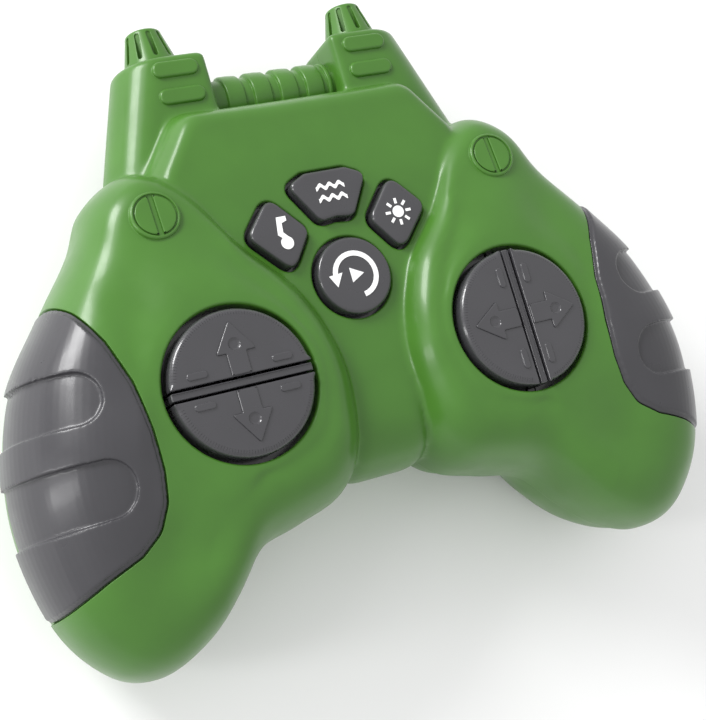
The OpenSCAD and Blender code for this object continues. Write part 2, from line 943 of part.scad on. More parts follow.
module battery_b() {
    color("orange") place() translate([0, cell_y[1], cell_z]) mirror([1, 0, 0]) cell();
}

contact_t = 0.4;
contact_x = bay_half_x - contact_t - 0.1;
tab_w = 4;

// Spring-leaf contact plate at the +X end of the bay, centred on y
module contact_plate(y, width, leaf_ys) {
    translate([contact_x, y - width / 2, 3.4]) cube([contact_t, width, bay_z - 4.4]);
    for (leaf_y = leaf_ys) {
        translate([cell_l / 2 + 0.1, leaf_y - 2, cell_z - 2]) cube([contact_t, 4, 4]);
        for (z = [cell_z - 2, cell_z + 2 - contact_t])
            translate([cell_l / 2 + 0.1, leaf_y - 2, z]) cube([contact_x - cell_l / 2, 4, contact_t]);
    }
}

module terminal_tab(y) {
    translate([contact_x, y - tab_w / 2, bay_z - 2]) cube([contact_t, tab_w, 4.6]);
}

module plus_contact() {
    color("silver") place() {
        contact_plate(cell_y[0], 10, [cell_y[0]]);
        terminal_tab(cell_y[0]);
    }
}

module minus_contact() {
    color("silver") place() {
        contact_plate(cell_y[1], 10, [cell_y[1]]);
        terminal_tab(cell_y[1]);
    }
}

module link_contact() {
    middle_y = (cell_y[0] + cell_y[1]) / 2;
    color("silver") place() mirror([1, 0, 0]) contact_plate(middle_y, 26, cell_y);
}

module contact_slots() {
    for (y = cell_y)
        translate([contact_x - 0.2, y - tab_w / 2 - 0.2, bay_z - 1]) cube([contact_t + 0.4, tab_w + 0.4, 5]);
}

module supply_wire(y) {
    tab_top = bay_z + 2.6;
    x = contact_x + contact_t / 2;
    wire([[x, y, tab_top], [x, y, tab_top + 1.2], [x - 6, y, tab_top + 1.2], [x - 6, y, board_top_z - board_t]], wire_r);
}

module red_wire() {
    color("red") place() supply_wire(cell_y[0]);
}

module black_wire() {
    color("black") place() supply_wire(cell_y[1]);
}

// ---------- door and case screws ----------

module battery_door() {
    low_y = hump_low_y + 0.1;
    long = door_top_y - low_y;
    color("darkgreen") place()
        difference() {
            union() {
                translate([-door_half_x, low_y, 0]) cube([2 * door_half_x, long, door_t]);
                translate([-door_half_x - tongue_reach, low_y, 1.2])
                    cube([2 * (door_half_x + tongue_reach), long, door_t - 1.2]);
            }
            for (k = [0 : 4])
                translate([-9, low_y + 5 + k * 2, -1]) cube([18, 1, 1.5]);
        }
}

module housing_screws() {
    color("silver") place()
        at_screws() {
            difference() {
                translate([0, 0, well_z - 2]) cylinder(r = screw_head_r, h = 2);
                for (turn = [0, 90])
                    rotate(turn) translate([-1.5, -0.3, well_z - 2.5]) cube([3, 0.6, 1.5]);
            }
            translate([0, 0, well_z - 0.1]) cylinder(r = screw_shank_r, h = seam_z + 12 - well_z);
        }
}

front_housing();
rear_housing();
left_grip_pad();
right_grip_pad();
left_cone();
right_cone();
ribbed_tube();
left_divider();
right_divider();
forward_key();
reverse_key();
left_turn_key();
right_turn_key();
music_key();
wave_key();
light_key();
spin_key();
music_mark();
wave_mark();
light_mark();
spin_mark();
main_board();
board_screws();
forward_switch();
reverse_switch();
left_turn_switch();
right_turn_switch();
music_switch();
wave_switch();
light_switch();
spin_switch();
control_chip();
radio_can();
antenna_wire();
battery_a();
battery_b();
link_contact();
plus_contact();
minus_contact();
red_wire();
black_wire();
battery_door();
housing_screws();
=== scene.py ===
import json
import math

import bmesh
import bpy
import numpy as np
from mathutils import Matrix, Vector
from mathutils.geometry import tessellate_polygon


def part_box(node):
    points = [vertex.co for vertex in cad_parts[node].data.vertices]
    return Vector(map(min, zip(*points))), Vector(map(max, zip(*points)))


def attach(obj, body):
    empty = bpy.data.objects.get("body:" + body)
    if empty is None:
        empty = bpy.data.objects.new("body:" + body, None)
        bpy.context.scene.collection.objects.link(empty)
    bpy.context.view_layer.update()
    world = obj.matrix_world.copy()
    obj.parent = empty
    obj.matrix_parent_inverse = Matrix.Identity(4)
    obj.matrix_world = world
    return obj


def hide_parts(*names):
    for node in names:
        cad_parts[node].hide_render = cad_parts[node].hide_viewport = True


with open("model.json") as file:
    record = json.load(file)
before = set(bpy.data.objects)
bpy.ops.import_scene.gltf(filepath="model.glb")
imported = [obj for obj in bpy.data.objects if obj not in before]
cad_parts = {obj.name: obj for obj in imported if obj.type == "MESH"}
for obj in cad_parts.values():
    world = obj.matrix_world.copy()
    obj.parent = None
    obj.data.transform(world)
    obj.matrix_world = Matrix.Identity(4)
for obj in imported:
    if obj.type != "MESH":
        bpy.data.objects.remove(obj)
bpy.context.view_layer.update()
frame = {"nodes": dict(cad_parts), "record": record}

# Lengths are millimetres. Points are counted from the line through the two thumb discs,
# and mesh_object() turns them into metres in the frame.

MM = 0.001
scene = bpy.context.scene


def low(node):
    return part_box(node)[0] / MM


def high(node):
    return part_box(node)[1] / MM


def middle(node):
    return (low(node) + high(node)) / 2


# ---------- sizes read from the frame ----------

disc_line_y = middle("left_divider").y
disc_x = middle("right_divider").x
face_z = high("left_divider").z
seam_z = low("front_housing").z
key_proud = 2
panel_z = high("wave_key").z - key_proud
cone_x = middle("right_cone").x
tower_z = middle("right_cone").z
cone_tip_y = high("right_cone").y - disc_line_y
tower_top_y = high("front_housing").y - disc_line_y
tube_y = middle("ribbed_tube").y - disc_line_y
sleeve_r = (high("ribbed_tube").z - low("ribbed_tube").z) / 2
rest_z = low("rear_housing").z
switch_top_z = high("forward_switch").z
board_top_z = low("left_divider").z
door_low_y = low("battery_door").y - disc_line_y
door_top_y = high("battery_door").y - disc_line_y

# ---------- sizes, as in the CAD part unless noted ----------

wall = 2.4
gap = 0.3
mound_z = face_z - 1.7
lobe_z = face_z - 5.4
disc_r = 15
disc_hole_r = disc_r + 1.1
disc_drop = 0.15  # the half discs' faces lie this much lower than in the CAD part
half_gap = 1.3
bar_half = 0.8
disc_stem_y = 8
disc_travel = 1.2
stem_r = 2.5
mark_h = 0.2
collar_t = 1.5
collar_h = 5.2
collar_low_z = mound_z - collar_h
flange_t = 1.2
flange_z = collar_low_z - gap - flange_t
key_gap = 0.7
key_travel = 1
tower_half = 9.3
tower_in_x = 15
tower_foot_y = 40
tower_top_x = 33.9
tower_foot_x = 45.8
pad_t = 1.2
pad_proud = 0.3
groove_depth = 0.9  # 0.8 in the CAD part
pad_edge_step = 0.45  # not in the CAD part
pad_low_z = seam_z + 0.15
rear_step = 0.9  # 0.5 in the CAD part
strip_y = -23.9
floor_z = 12
pill_x = 22.6
pill_ys = (65.1, 71.2)
pill_size = (10.4, 3.6)
pill_h = 0.75  # 0.7 in the CAD part
moulding_spot = (39.3, 37.2)
moulding_r = 5.2
moulding_tilt = -7
cone_r = 6.2  # 6.5 in the CAD part
cone_tip_r = 4  # 4.2 in the CAD part
cone_slots = 10
sleeve_pitch = 6.35
first_sleeve_x = -11.3
hump_half_x = 33
hump_low_y = -21.6
hump_top_y = 33
hump_r = 7
bay_half_x = 30.2
bay_y = (-19, 13.3)
bay_z = 17.8
bay_wall = 1.4
door_t = 2
bay_floor_z = rest_z + door_t + 0.4
door_half_x = 28
tongue_reach = 1.3
tongue_low_z = rest_z + door_t - 0.8
well_wall_r = 4.6
well_r = 3.1
well_z = 10

# fineness of the meshes that stand for smooth mouldings
case_voxel = 0.55
pad_voxel = 0.24

# x, y, width and top of the front's rounding, width and bottom of the rear's rounding
POD_KNOTS = [
    (40.3, 50, 10, lobe_z, 10, 5),
    (31.5, 45, 9, lobe_z, 9, 5),
    (22, 31, 8, mound_z - 2.2, 8, 4),
    (11, 18, 9, mound_z - 1, 8, 4),
    (5.5, 0, 9.5, mound_z - 0.5, 8, 4),
    (7, -17, 11, mound_z - 0.5, 9, 4),
    (12.5, -25.8, 13, mound_z - 0.6, 12, 4),
    (22.5, -29.4, 13, mound_z - 0.6, 14, 4),
    (33, -32.4, 14, mound_z - 0.9, 16, 4),
    (40, -40, 16, mound_z - 1.6, 18, 2.5),
    (48.3, -47.2, 19, mound_z - 2.6, 18, 1.2),
    (58.5, -51, 22, mound_z - 3.2, 16, 0.8),
    (67.8, -47.5, 23, mound_z - 2.8, 15, 0.8),
    (76, -35, 24, mound_z - 0.5, 16, 1.5),
    (79.2, -13, 24, mound_z + 1.3, 16, 4),
    (74.5, 9, 22, mound_z, 14, 5),
    (63.5, 25, 15, mound_z - 1.8, 11, 5),
    (54.5, 36.5, 12, lobe_z - 0.4, 10, 5),
    (49.3, 45.5, 11, lobe_z, 10, 5),
]
MIDDLE_CORNERS = [(10, strip_y), (15, 5), (30, 28), (38, 40), (36.5, 48.5), (27.5, 61)]
PAD_EDGE = [(60, 21.5), (56.4, 14), (53.6, 5), (52.4, -5), (52.2, -13), (53, -19), (55.5, -24), (60, -27.4),
            (67, -30.2), (76, -34.6), (95, -44), (95, 32), (64, 27.5)]
# x and y of the inner end, half width and tilt
GROOVES = [(59.8, 4.6, 5.4, 6), (57.9, -13.8, 5.7, 1)]
SIDE_KEY = [(14.3, 37.4), (7, 28.9), (12.9, 20.7), (21, 29.6)]
TOP_KEY = [(9.2, 38.9), (4.8, 41), (-4.8, 41), (-9.2, 38.9), (-3.9, 30.1), (0, 30.6), (3.9, 30.1)]
ROUND_KEY = (0, 17.5, 8.3)
SIDE_STEM = (13.7, 29)
SCREW_SPOTS = [(39.2, 37.6), (60, -34)]
# x, y and reach of the stretches on the pods that are smoothed more than the rest
EASED_SPOTS = [(46, 30, 20), (58, 27, 16), (33, -34, 14)]


# ---------- outlines ----------


def closed_curve(knots, steps):
    """A closed Catmull-Rom curve through every knot; all columns are blended alike."""
    knots = np.array(knots, float)
    a, b, c, d = (np.roll(knots, shift, axis=0) for shift in (1, 0, -1, -2))
    points = []
    for t in np.arange(steps) / steps:
        points.append(0.5 * (2 * b + (c - a) * t + (2 * a - 5 * b + 4 * c - d) * t**2
                             + (3 * b - a - 3 * c + d) * t**3))
    return np.stack(points, axis=1).reshape(-1, knots.shape[1])


def rounded(corners, radius, steps=8):
    """A polygon with every corner rounded; radius may hold one value for each corner."""
    corners = np.array(corners, float)
    radii = np.broadcast_to(radius, len(corners))
    points = []
    for i, here in enumerate(corners):
        back = corners[i - 1] - here
        ahead = corners[(i + 1) % len(corners)] - here
        back_l, ahead_l = np.linalg.norm(back), np.linalg.norm(ahead)
        u, v = back / back_l, ahead / ahead_l
        half_angle = math.acos(float(np.clip(u @ v, -1, 1))) / 2
        reach = min(radii[i] / math.tan(half_angle), 0.45 * min(back_l, ahead_l))
        for t in np.linspace(0, 1, steps + 1):
            points.append(here + u * reach * (1 - t) ** 2 + v * reach * t**2)
    return np.array(points)


def refined(outline, spacing):
    """The same outline with points no further apart than spacing."""
    points = []
    for here, ahead in zip(outline, np.roll(outline, -1, axis=0)):
        count = max(1, math.ceil(np.linalg.norm(ahead - here) / spacing))
        points += [here + (ahead - here) * k / count for k in range(count)]
    return np.array(points)


def resampled(outline, count):
    """The same closed outline with count evenly spaced points."""
    closed = np.concatenate([outline, outline[:1]])
    travelled = np.concatenate([[0], np.cumsum(np.linalg.norm(np.diff(closed, axis=0), axis=1))])
    wanted = np.arange(count) / count * travelled[-1]
    return np.column_stack([np.interp(wanted, travelled, closed[:, axis]) for axis in (0, 1)])


def circle(x, y, r, count=96):
    angles = np.arange(count) * 2 * math.pi / count
    return np.stack([x + r * np.cos(angles), y + r * np.sin(angles)], axis=1)


def stadium(x, y, length, width, steps=12):
    """A bar with half-round ends, along x."""
    r = width / 2
    ends = []
    for side, start in ((1, -math.pi / 2), (-1, math.pi / 2)):
        for angle in np.linspace(start, start + math.pi, steps + 1):
            ends.append((x + side * (length / 2 - r) + r * math.cos(angle), y + r * math.sin(angle)))
    return np.array(ends)


def mirrored(points):
    points = np.array(points, float)[::-1].copy()
    points[:, 0] *= -1
    return points


def inset(outline, by):
    """Moves an anticlockwise outline inwards along its normals; by may hold one value for each point."""
    along = np.roll(outline, -1, axis=0) - np.roll(outline, 1, axis=0)
    along /= np.linalg.norm(along, axis=1)[:, None]
    inward = np.stack([-along[:, 1], along[:, 0]], axis=1)
    return outline + inward * np.reshape(by, (-1, 1))


# ---------- meshes ----------


def mesh_object(name, points, faces):
    mesh = bpy.data.meshes.new(name)
    placed = (np.asarray(points, float) + (0, disc_line_y, 0)) * MM
    mesh.from_pydata(placed.tolist(), [], faces)
    tidy = bmesh.new()
    tidy.from_mesh(mesh)
    bmesh.ops.recalc_face_normals(tidy, faces=tidy.faces)
    tidy.to_mesh(mesh)
    tidy.free()
    obj = bpy.data.objects.new(name, mesh)
    scene.collection.objects.link(obj)
    return obj


def lofted(name, rings, lowest=None, highest=None):
    """A closed solid through rings of equal length; an end is flat, or a fan round a given point."""
    rings = [np.asarray(ring, float) for ring in rings]
    n = len(rings[0])
    points = np.concatenate(rings)
    faces = []
    for k in range(len(rings) - 1):
        for i in range(n):
            j = (i + 1) % n
            faces.append((k * n + i, k * n + j, (k + 1) * n + j, (k + 1) * n + i))
    for start, tip, step in ((0, lowest, -1), (len(points) - n, highest, 1)):
        ring = range(start, start + n)[::step]
        if tip is None:
            flat_end = [Vector(points[i]) for i in ring]
            faces += [tuple(ring[i] for i in corners) for corners in tessellate_polygon([flat_end])]
        else:
            points = np.concatenate([points, [tip]])
            faces += [(len(points) - 1, ring[i - 1], ring[i]) for i in range(n)]
    return mesh_object(name, points, faces)


def at_height(outline, z):
    return np.column_stack([outline[:, :2], np.broadcast_to(z, len(outline))])


def plate(name, outline, profile):
    """A solid over an outline; profile lists (inset, z) from end to end, each a number or one a point."""
    return lofted(name, [at_height(inset(outline, by), z) for by, z in profile])


def fillet(z, r, steps=6, up=1):
    """The part of a profile that rounds the edge below z, or above it where up is -1."""
    angles = np.linspace(0, math.pi / 2, steps + 1)
    return [(r * (1 - math.cos(a)), z - up * r * (1 - math.sin(a))) for a in angles]


def turned(name, profile, place, axis, count=96):
    """A solid of revolution; profile lists (radius, distance along the axis) with radii above zero."""
    side = Vector(axis).orthogonal().normalized()
    other = Vector(axis).cross(side)
    rings = []
    for r, along in profile:
        centre = Vector(place) + Vector(axis) * along
        rings.append([centre + (side * math.cos(a) + other * math.sin(a)) * r
                      for a in np.arange(count) * 2 * math.pi / count])
    return lofted(name, rings)


def cuboid(name, lowest, highest):
    outline = np.array([(lowest[0], lowest[1]), (highest[0], lowest[1]), (highest[0], highest[1]),
                        (lowest[0], highest[1])], float)
    return lofted(name, [at_height(outline, lowest[2]), at_height(outline, highest[2])])


def settle(obj):
    """Applies an object's modifiers."""
    graph = bpy.context.evaluated_depsgraph_get()
    mesh = bpy.data.meshes.new_from_object(obj.evaluated_get(graph))
    obj.modifiers.clear()
    old = obj.data
    obj.data = mesh
    bpy.data.meshes.remove(old)
    return obj


def remove(obj):
    mesh = obj.data
    bpy.data.objects.remove(obj)
    bpy.data.meshes.remove(mesh)


def joined(obj, tools, operation):
    """UNION, DIFFERENCE or INTERSECT of a solid with each tool in turn; the tools are used up."""
    for tool in tools:
        cut = obj.modifiers.new("cut", "BOOLEAN")
        cut.solver = "MANIFOLD"
        cut.operation = operation
        cut.object = tool
        settle(obj)
        if not len(obj.data.polygons):
            raise RuntimeError(f"nothing is left of {obj.name} after {tool.name}")
        remove(tool)
    return obj


def merged(obj, parts):
    """Adds closed shells to a solid without cutting either, so that its flat faces stay whole."""
    whole = bmesh.new()
    whole.from_mesh(obj.data)
    for part in parts:
        whole.from_mesh(part.data)
        remove(part)
    whole.to_mesh(obj.data)
    whole.free()
    return obj


def smoothed(obj, rounds, group=""):
    """Smooths a mesh, or only a weighted group of its points."""
    smooth = obj.modifiers.new("smooth", "SMOOTH")
    smooth.vertex_group = group
    smooth.factor = 0.5
    smooth.iterations = rounds
    return settle(obj)


def remeshed(obj, size):
    """Even quads with softly rounded creases, as a moulding has."""
    grid = obj.modifiers.new("grid", "REMESH")
    grid.mode = "VOXEL"
    grid.voxel_size = size * MM
    return smoothed(obj, 8)


def flipped(obj, name):
    """A mirror copy on the other side of the controller."""
    twin = bpy.data.objects.new(name, obj.data.copy())
    twin.data.transform(Matrix.Scale(-1, 4, (1, 0, 0)))
    twin.data.flip_normals()
    scene.collection.objects.link(twin)
    return twin


def placed(obj, spot, z, angle, axis):
    """Turns a piece that was made round the origin, and moves it to its spot."""
    obj.data.transform(Matrix.Translation((0, -disc_line_y * MM, 0)))
    obj.data.transform(Matrix.Rotation(math.radians(angle), 4, axis))
    obj.data.transform(Matrix.Translation((spot[0] * MM, (spot[1] + disc_line_y) * MM, z * MM)))
    return obj


def both(make):
    """The solid that make() gives for the right side, and its mirror copy."""
    right = make()
    return [right, flipped(right, right.name + "_left")]


# ---------- the case's surfaces ----------

FULLNESS = 2.4
EDGE_RINGS = 22
TOP_RINGS = 16


def rise(t):
    """Height share across a rounded edge, steep at first and level at its end."""
    return (1 - (1 - min(t, 1)) ** FULLNESS) ** (1 / FULLNESS)


def ease(t):
    """Goes from 0 to 1 and is level at both ends."""
    return t * t * (3 - 2 * t)


def dome(name, outline, centre, flat_r, edge_z, flat_z, grow=0, columns=(2, 3)):
    """A domed solid over an outline that holds x, y, rounding width and shoulder height."""
    up = math.copysign(1, flat_z - edge_z)
    base = outline[:, :2]
    to_centre = np.array(centre) - base
    reach = np.linalg.norm(to_centre, axis=1)
    along = to_centre / reach[:, None]
    width = np.minimum(outline[:, columns[0]], reach - flat_r - 1)
    shoulder = outline[:, columns[1]]
    stops = list(1 - np.cos(np.linspace(0, math.pi / 2, EDGE_RINGS + 1)))
    stops += [1 + (k + 1) / TOP_RINGS for k in range(TOP_RINGS)]
    rings = []
    for stop in stops:
        if stop <= 1:
            inward = width * stop
            z = edge_z + (shoulder + grow * up - edge_z) * rise(stop)
        else:
            inward = width + (reach - flat_r - width) * (stop - 1)
            z = shoulder + (flat_z - shoulder) * ease(stop - 1) + grow * up
        rings.append(at_height(base + along * (inward - grow)[:, None], z))
    foot = at_height(rings[0], edge_z - 3 * up)
    first, last = foot[0, 2], rings[-1][0, 2]
    return lofted(name, [foot] + rings, (*centre, first), (*centre, last))


pod_outline = closed_curve(POD_KNOTS, 16)
disc_centre = (disc_x, 0)
panel_centre = (0, 18)


def pod_front(grow=0):
    return dome("pod_front", pod_outline, disc_centre, disc_hole_r + 1.2, seam_z, mound_z, grow)


def pod_rear(grow=0):
    return dome("pod_rear", pod_outline, disc_centre, 8, seam_z, 4, grow, columns=(4, 5))


def middle_outline(level, low_width):
    corners = np.array(MIDDLE_CORNERS, float)
    outline = refined(rounded(np.concatenate([corners, mirrored(corners)]), 6), 1.5)
    blend = np.clip((outline[:, 1] - strip_y - 2) / 14, 0, 1)
    width = low_width + (6 - low_width) * blend
    return np.column_stack([outline, width, np.full(len(outline), level)])


def middle_front(grow=0):
    return dome("middle_front", middle_outline(panel_z, 16), panel_centre, 1, seam_z, panel_z, grow)


def middle_rear(grow=0):
    return dome("middle_rear", middle_outline(floor_z, 6), panel_centre, 1, seam_z, floor_z, grow)


def tower_section(outer_x, inner_x, r):
    """Section across a tower as x and height: half-round outside, rounded corners inside."""
    across = outer_x - tower_half
    angles = np.linspace(-math.pi / 2, math.pi / 2, 33)
    arc = [(across + r * math.cos(a), r * math.sin(a)) for a in angles]
    steps = 8
    box = rounded([(across, r), (inner_x, r), (inner_x, -r), (across, -r)], [0.01, 1.6, 1.6, 0.01], steps)
    inner_corners = box[steps + 1:3 * (steps + 1)]
    return resampled(np.concatenate([arc, inner_corners]), 200)


def tower(shrink=0):
    """Right tower: flat inner wall, half-round outer wall, and a top end with a rounded edge."""
    r = tower_half - shrink
    edge = 1.2
    top = tower_top_y - shrink
    stations = [(tower_foot_y + (top - edge - tower_foot_y) * t, 0) for t in np.linspace(0, 1, 12)]
    stations += [(top - edge * (1 - math.sin(a)), edge * (1 - math.cos(a)))
                 for a in np.linspace(0, math.pi / 2, 7)[1:]]
    rings = []
    for y, smaller in stations:
        along = (y - tower_foot_y) / (tower_top_y - tower_foot_y)
        outer_x = tower_foot_x + (tower_top_x - tower_foot_x) * along
        section = tower_section(outer_x, tower_in_x + shrink + smaller, r - smaller)
        rings.append(np.column_stack([section[:, 0], np.full(len(section), y), tower_z + section[:, 1]]))
    return lofted("tower", rings)


# ---------- housings ----------


def key_hole(outline):
    """Cutter for the hole round a key, flared at the panel so that the hole's edge is rounded."""
    edge = 0.5
    angles = np.linspace(0, math.pi / 2, 6)
    flare = [(edge * (math.cos(a) - 1), panel_z - edge + edge * math.sin(a)) for a in angles]
    profile = [(0, panel_z - wall - 1)] + flare + [(-edge - 0.2, panel_z + 2)]
    return plate("key_hole", inset(outline, -key_gap), profile)


def disc_hole():
    """Cutter for a thumb disc's opening, flared at the top."""
    edge = 0.7
    profile = [(disc_hole_r, mound_z - 12)]
    for a in np.linspace(0, math.pi / 2, 7):
        profile.append((disc_hole_r + edge * (1 - math.cos(a)), mound_z - edge + edge * math.sin(a)))
    profile.append((disc_hole_r + edge + 0.5, mound_z + 3))
    return turned("disc_hole", profile, (disc_x, 0, 0), (0, 0, 1), 128)


def collar():
    """The wall that stands down round a thumb disc's opening."""
    r = disc_hole_r + collar_t
    return turned("collar", [(r, collar_low_z), (r, mound_z - 0.6)], (disc_x, 0, 0), (0, 0, 1), 128)


side_key_outline = rounded(SIDE_KEY, 2.6)
left_key_outline = mirrored(side_key_outline)
top_key_outline = rounded(TOP_KEY, [2.2, 2.2, 2.2, 2.2, 2.2, 4, 2.2])
round_key_outline = circle(*ROUND_KEY)


def tower_pill(y):
    z = tower_z + tower_half
    edge = 0.55
    profile = [(0, z - 1), (0, z + pill_h - edge)] + fillet(z + pill_h, edge)
    return plate("pill", stadium(pill_x, y, *pill_size), profile)


def lobe_moulding():
    """Raised round moulding with two pads beside a curved slot, like a big screw head."""
    r = moulding_r
    pad_r = r - 0.95
    slot_half = 0.55
    base = turned("moulding", [(r, -1.5), (r, 0.15), (r - 0.12, 0.36), (r - 0.4, 0.5)], (0, 0, 0), (0, 0, 1))
    groove = turned("groove", [(r - 0.6, 0.1), (r - 0.55, 1)], (0, 0, 0), (0, 0, 1))
    joined(base, [groove], "DIFFERENCE")
    turn = np.linspace(-math.pi / 2, math.pi / 2, 25)
    bend = 0.5 * np.sin(2 * turn)
    pads = []
    for side in (-1, 1):
        half = [(max(pad_r * math.cos(a), slot_half + side * b), pad_r * math.sin(a))
                for a, b in zip(turn, bend)]
        half = refined(np.array(half) * side, 0.6)
        pads.append(plate("pad", half, [(0, -0.5), (0, 0.25)] + fillet(0.5, 0.25, 4)))
    joined(base, pads, "UNION")
    return placed(base, moulding_spot, lobe_z + 0.3, moulding_tilt, "X")


def pad_region(more, from_z):
    """The pad's plan, moved out by more, from from_z upwards."""
    corner_r = [1.5, 3, 3, 3, 3, 4, 5, 4, 3, 3, 1, 1, 3]
    outline = refined(rounded(PAD_EDGE, corner_r, 6), 1.2)
    return plate("pad_plan", inset(outline, -more), [(0, from_z), (0, seam_z + 40)])


def pad_recess():
    return joined(pad_region(gap, seam_z - 1), [pod_front(-pad_t)], "DIFFERENCE")


def screw_boss(x, y):
    boss = turned("boss", [(well_wall_r, rest_z), (well_wall_r, seam_z - 0.1)], (x, y, 0), (0, 0, 1), 48)
    return joined(boss, [pod_rear(-rear_step - 0.1)], "INTERSECT")


def screw_well(x, y):
    return turned("well", [(well_r, -1), (well_r, well_z)], (x, y, 0), (0, 0, 1), 48)


def eased_region(obj, spots):
    """Smooths the upper surface more around some spots, on both sides alike."""
    group = obj.vertex_groups.new(name="soft")
    points = np.array([v.co for v in obj.data.vertices]) / MM
    side_band = 6
    fade_in = 8
    full_share = 1.6
    weight = np.zeros(len(points))
    for x, y, reach in spots:
        away = np.hypot(np.abs(points[:, 0]) - x, points[:, 1] - disc_line_y - y) / reach
        weight = np.maximum(weight, np.clip(full_share * (1 - away), 0, 1))
    weight *= np.clip((points[:, 2] - seam_z - side_band) / fade_in, 0, 1)
    for index in np.flatnonzero(weight > 0.01):
        group.add([int(index)], float(weight[index]), "REPLACE")
    return smoothed(obj, 340, group.name)


def tube_bed():
    """Cutter for the space round the tube."""
    r = sleeve_r + gap
    return turned("bed", [(r, -tower_in_x), (r, tower_in_x)], (0, tube_y, tower_z), (1, 0, 0))


def tube_backing():
    """Thicker wall behind the tube, before it is trimmed to the middle body."""
    half_x = tower_in_x + 1
    low_y = tube_y - sleeve_r - 3.5
    return cuboid("backing", (-half_x, low_y, tower_z - 10), (half_x, low_y + 8, tower_z + 12))


def front_housing():
    body = middle_front()
    joined(body, both(pod_front) + both(tower), "UNION")
    remeshed(body, case_voxel)
    eased_region(body, EASED_SPOTS)
    hollow = [middle_front(-wall)] + both(lambda: pod_front(-wall)) + both(lambda: tower(wall))
    joined(body, hollow, "DIFFERENCE")
    raised = both(lobe_moulding) + both(collar) + [joined(tube_backing(), [middle_front(-0.5)], "INTERSECT")]
    for y in pill_ys:
        raised += both(lambda: tower_pill(y))
    joined(body, raised, "UNION")
    joined(body, both(disc_hole) + both(pad_recess) + [tube_bed()], "DIFFERENCE")
    outlines = (side_key_outline, left_key_outline, top_key_outline, round_key_outline)
    joined(body, [key_hole(outline) for outline in outlines], "DIFFERENCE")
    above = cuboid("above", (-120, -120, seam_z + 0.05), (120, 120, seam_z + 60))
    return joined(body, [above], "INTERSECT")


def box_outline(half_x, y_low, y_high, r):
    return refined(rounded([(half_x, y_low), (half_x, y_high), (-half_x, y_high), (-half_x, y_low)], r), 2)


def hump(inward=0):
    """The battery hump that the part rests on."""
    outline = box_outline(hump_half_x - inward, hump_low_y + inward, hump_top_y - inward, hump_r - inward)
    bottom = rest_z + inward
    profile = [(by, z) for by, z in reversed(fillet(bottom, 2.4, 8, up=-1))]
    return plate("hump", outline, profile + [(0, seam_z + 3)])


def cell_bay():
    """The block round the cells, and the cutter that hollows it."""
    out_x = bay_half_x + bay_wall
    low_y, top_y = bay_y
    block = cuboid("bay", (-out_x, low_y - bay_wall, rest_z + 1), (out_x, top_y + bay_wall, bay_z + bay_wall))
    hollow = cuboid("bay_hollow", (-bay_half_x, low_y, bay_floor_z), (bay_half_x, top_y, bay_z))
    return block, hollow


def door_cuts():
    """The door's hole in the hump, and the wider track for its tongues."""
    far_y = strip_y - 0.1
    near_y = door_top_y + gap
    half_x = door_half_x + gap
    track_x = half_x + tongue_reach
    return [cuboid("door_hole", (-half_x, far_y, rest_z - 1), (half_x, near_y, bay_floor_z)),
            cuboid("door_track", (-track_x, far_y, tongue_low_z - gap), (track_x, near_y, bay_floor_z))]


def rear_housing():
    body = middle_rear(-rear_step)
    joined(body, [hump()] + both(lambda: pod_rear(-rear_step)) + both(tower), "UNION")
    remeshed(body, case_voxel)
    hollow = [middle_rear(-wall), hump(wall)] + both(lambda: pod_rear(-wall)) + both(lambda: tower(wall))
    joined(body, hollow, "DIFFERENCE")
    below = cuboid("below", (-120, -120, seam_z - 60), (120, 120, seam_z - 0.05))
    joined(body, [below], "INTERSECT")
    bay, bay_hollow = cell_bay()
    joined(body, [bay, joined(tube_backing(), [middle_rear(-1)], "INTERSECT")], "UNION")
    joined(body, [tube_bed(), bay_hollow] + door_cuts(), "DIFFERENCE")
    for x, y in SCREW_SPOTS:
        joined(body, both(lambda: screw_boss(x, y)), "UNION")
        joined(body, both(lambda: screw_well(x, y)), "DIFFERENCE")
    return body


# ---------- grip pads ----------


def finger_groove(x, y, half, tilt):
    """Cutter for one finger groove: its plan is a bar with a round inner end, open to the outside."""
    angles = np.linspace(math.pi / 2, math.pi * 1.5, 25)
    plan = [(half * math.cos(a), half * math.sin(a)) for a in angles] + [(40, -half - 1), (40, half + 1)]
    turn = math.radians(tilt)
    points = []
    for u, v in plan:
        points.append((x + half + u * math.cos(turn) - v * math.sin(turn),
                       y + u * math.sin(turn) + v * math.cos(turn)))
    outline = refined(np.array(points), 1.2)
    return plate("groove_plan", outline, [(0, seam_z - 5), (0, seam_z + 60)])


def right_pad():
    """Grip pad with a low step round its rim and two finger grooves."""
    pad = joined(pad_region(0, pad_low_z), [pod_front(pad_proud - pad_edge_step)], "INTERSECT")
    face = joined(pad_region(-2 * pad_edge_step, pad_low_z), [pod_front(pad_proud)], "INTERSECT")
    joined(pad, [face], "UNION")
    joined(pad, [pod_front(-pad_t + 0.1)], "DIFFERENCE")
    for spot in GROOVES:
        groove = joined(finger_groove(*spot), [pod_front(pad_proud - groove_depth)], "DIFFERENCE")
        joined(pad, [groove], "DIFFERENCE")
    remeshed(pad, pad_voxel)
    pad.name = "right_pad"
    return pad


# ---------- cones and tube ----------


